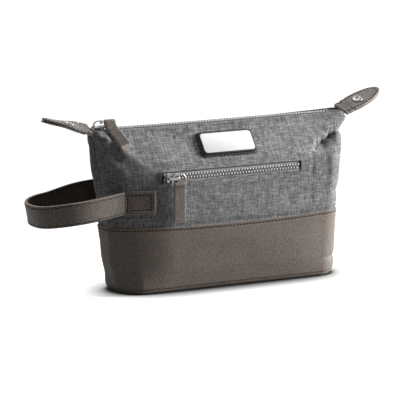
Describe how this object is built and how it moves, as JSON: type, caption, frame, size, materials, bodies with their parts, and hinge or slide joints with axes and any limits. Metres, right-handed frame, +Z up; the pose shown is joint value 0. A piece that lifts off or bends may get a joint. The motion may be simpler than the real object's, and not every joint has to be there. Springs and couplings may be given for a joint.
{
  "type": "toiletry bag",
  "caption": "Soft toiletry bag of woven fabric on a leather base band, with a zipped ridge mouth, a zipped front pocket, a leather carry loop and end tabs.",
  "frame": {"origin": "centre of the flat underside", "axes": "+X to the right seen from the front, along the bag's length; -Y to the front, where the pocket is; +Z up"},
  "size_m": [0.3713, 0.0742, 0.1648],
  "materials": {
    "fabric": "grey melange weave, matt",
    "leather": "grey-brown pebbled leather, satin",
    "lining": "smooth dark lining cloth",
    "board": "plain stiffening board",
    "tape": "grey zip tape, fine herringbone",
    "teeth": "bright zip teeth",
    "hardware": "nickel-plated, polished",
    "label_rim": "dark woven rim with stitches",
    "label_plate": "plain off-white plate"
  },
  "bodies": {
    "bag": {"base_panel": "leather", "base_board": "board", "band_front": "leather", "band_back": "leather", "front_wall": "fabric", "back_wall": "fabric", "lower_lining": "lining", "left_end_fabric": "fabric", "right_end_fabric": "fabric", "left_end_lining": "lining", "right_end_lining": "lining", "left_end_teeth": "teeth", "right_end_teeth": "teeth", "left_end_tape": "tape", "right_end_tape": "tape", "pocket_tape_upper": "tape", "pocket_tape_lower": "tape", "pocket_teeth_upper": "teeth", "pocket_teeth_lower": "teeth", "pocket_pouch": "lining", "strap_end_front": "leather", "strap_end_back": "leather"},
    "front_flap": {"front_flap_fabric": "fabric", "front_flap_lining": "lining", "front_flap_tape": "tape", "front_flap_teeth": "teeth", "label_patch": "label_rim", "label_plate": "label_plate"},
    "back_flap": {"back_flap_fabric": "fabric", "back_flap_lining": "lining", "back_flap_tape": "tape", "back_flap_teeth": "teeth"},
    "main_slider": {"main_slider_body": "hardware"},
    "main_ring": {"main_ring_wire": "hardware"},
    "main_pull": {"main_pull_leather": "leather"},
    "pocket_slider": {"pocket_slider_body": "hardware"},
    "pocket_ring": {"pocket_ring_wire": "hardware"},
    "pocket_pull": {"pocket_pull_leather": "leather"},
    "strap": {"strap_outer": "leather", "strap_inner": "leather"},
    "left_tab": {"left_tab_upper": "leather", "left_tab_lower": "leather", "left_tab_rivet": "hardware"},
    "right_tab": {"right_tab_upper": "leather", "right_tab_lower": "leather", "right_tab_rivet": "hardware"}
  },
  "joints": [
    {"name": "front_flap_open", "type": "hinge", "parent": "bag", "child": "front_flap", "pos_m": [0, -0.03, 0.1125], "axis": [1, 0, 0], "range_deg": [0, 35]},
    {"name": "back_flap_open", "type": "hinge", "parent": "bag", "child": "back_flap", "pos_m": [0, 0.03, 0.1125], "axis": [-1, 0, 0], "range_deg": [0, 35]},
    {"name": "main_zip_slide", "type": "slide", "parent": "bag", "child": "main_slider", "axis": [1, 0, 0], "range_m": [0, 0.23]},
    {"name": "main_ring_swing", "type": "hinge", "parent": "main_slider", "child": "main_ring", "pos_m": [-0.115, 0, 0.15385], "axis": [-1, 0, 0], "range_deg": [0, 12]},
    {"name": "main_pull_swing", "type": "hinge", "parent": "main_ring", "child": "main_pull", "pos_m": [-0.115, -0.0058, 0.1554], "axis": [-1, 0, 0], "range_deg": [0, 110]},
    {"name": "pocket_zip_slide", "type": "slide", "parent": "bag", "child": "pocket_slider", "axis": [1, 0, 0], "range_m": [0, 0.124]},
    {"name": "pocket_ring_swing", "type": "hinge", "parent": "pocket_slider", "child": "pocket_ring", "pos_m": [-0.06, -0.03505, 0.1045], "axis": [-1, 0, 0], "range_deg": [0, 25]},
    {"name": "pocket_pull_swing", "type": "hinge", "parent": "pocket_ring", "child": "pocket_pull", "pos_m": [-0.06, -0.03505, 0.0985], "axis": [-1, 0, 0], "range_deg": [0, 110]},
    {"name": "strap_swing", "type": "hinge", "parent": "bag", "child": "strap", "pos_m": [-0.1207, 0, 0.08375], "axis": [0, 1, 0], "range_deg": [-25, 25], "stiffness_Nm_per_rad": 0.5},
    {"name": "left_tab_bend", "type": "hinge", "parent": "bag", "child": "left_tab", "pos_m": [-0.13395, 0, 0.1482], "axis": [0.1044, 0.9932, 0.0523], "range_deg": [-30, 35], "stiffness_Nm_per_rad": 0.05},
    {"name": "right_tab_bend", "type": "hinge", "parent": "bag", "child": "right_tab", "pos_m": [0.13395, 0, 0.1482], "axis": [0.1977, -0.9303, -0.309], "range_deg": [-30, 35], "stiffness_Nm_per_rad": 0.05}
  ],
  "couplings": [
    {"joint": "back_flap_open", "follows": "front_flap_open", "ratio": 1}
  ]
}
